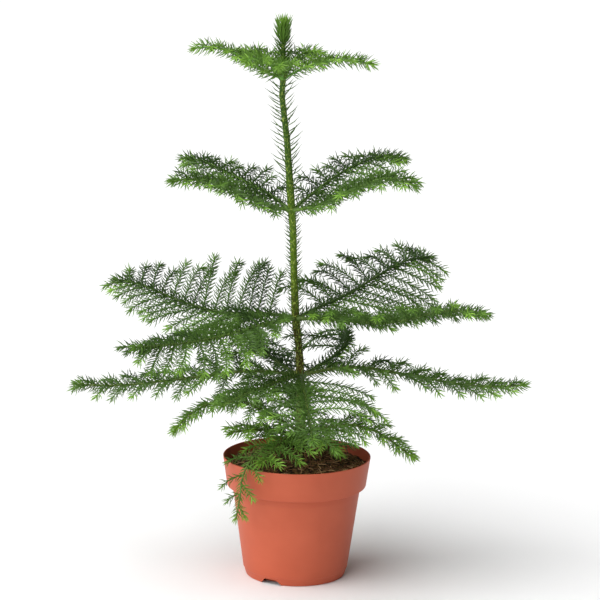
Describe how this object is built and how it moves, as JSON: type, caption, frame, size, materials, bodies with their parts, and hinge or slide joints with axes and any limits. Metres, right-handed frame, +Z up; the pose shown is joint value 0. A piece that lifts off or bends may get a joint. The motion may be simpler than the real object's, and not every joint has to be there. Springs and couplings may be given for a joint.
{
  "type": "potted norfolk island pine",
  "caption": "Young potted Norfolk Island pine with tiered, fern-like boughs on a slender trunk, in a tapered terracotta-coloured plastic nursery pot of soil.",
  "frame": {"origin": "centre of the pot's flat underside, on the surface it stands on", "axes": "+Z up along the pot's axis, -Y towards the viewer's side, +X to the viewer's right"},
  "size_m": [0.4629, 0.3727, 0.5705],
  "materials": {
    "terracotta_plastic": "satin moulded plastic, terracotta colour",
    "potting_soil": "moist peat and coir fibre, matt",
    "bark": "thin young bark, green above and brown below",
    "needles": "soft awl-shaped needles, satin green with brighter tips"
  },
  "bodies": {
    "root": {"pot": "terracotta_plastic", "soil": "potting_soil", "trunk": "bark", "leader_tuft": "needles", "top_left_bough": "bark", "top_left_foliage": "needles", "top_right_bough": "bark", "top_right_foliage": "needles", "top_back_right_bough": "bark", "top_back_right_foliage": "needles", "top_back_left_bough": "bark", "top_back_left_foliage": "needles", "top_front_left_bough": "bark", "top_front_left_foliage": "needles", "top_front_bough": "bark", "top_front_foliage": "needles", "upper_front_left_bough": "bark", "upper_front_left_foliage": "needles", "upper_back_left_bough": "bark", "upper_back_left_foliage": "needles", "upper_front_right_bough": "bark", "upper_front_right_foliage": "needles", "upper_back_right_bough": "bark", "upper_back_right_foliage": "needles", "middle_front_left_bough": "bark", "middle_front_left_foliage": "needles", "middle_back_left_bough": "bark", "middle_back_left_foliage": "needles", "middle_front_right_bough": "bark", "middle_front_right_foliage": "needles", "middle_back_right_bough": "bark", "middle_back_right_foliage": "needles", "lower_left_bough": "bark", "lower_left_foliage": "needles", "lower_right_bough": "bark", "lower_right_foliage": "needles", "lower_back_left_bough": "bark", "lower_back_left_foliage": "needles", "lower_back_right_bough": "bark", "lower_back_right_foliage": "needles", "lower_front_right_bough": "bark", "lower_front_right_foliage": "needles", "lower_front_left_bough": "bark", "lower_front_left_foliage": "needles", "base_left_bough": "bark", "base_left_foliage": "needles", "base_right_bough": "bark", "base_right_foliage": "needles", "base_front_left_bough": "bark", "base_front_left_foliage": "needles", "base_front_bough": "bark", "base_front_foliage": "needles", "base_over_rim_bough": "bark", "base_over_rim_foliage": "needles", "base_front_right_bough": "bark", "base_front_right_foliage": "needles", "base_back_bough": "bark", "base_back_foliage": "needles"}
  },
  "joints": []
}
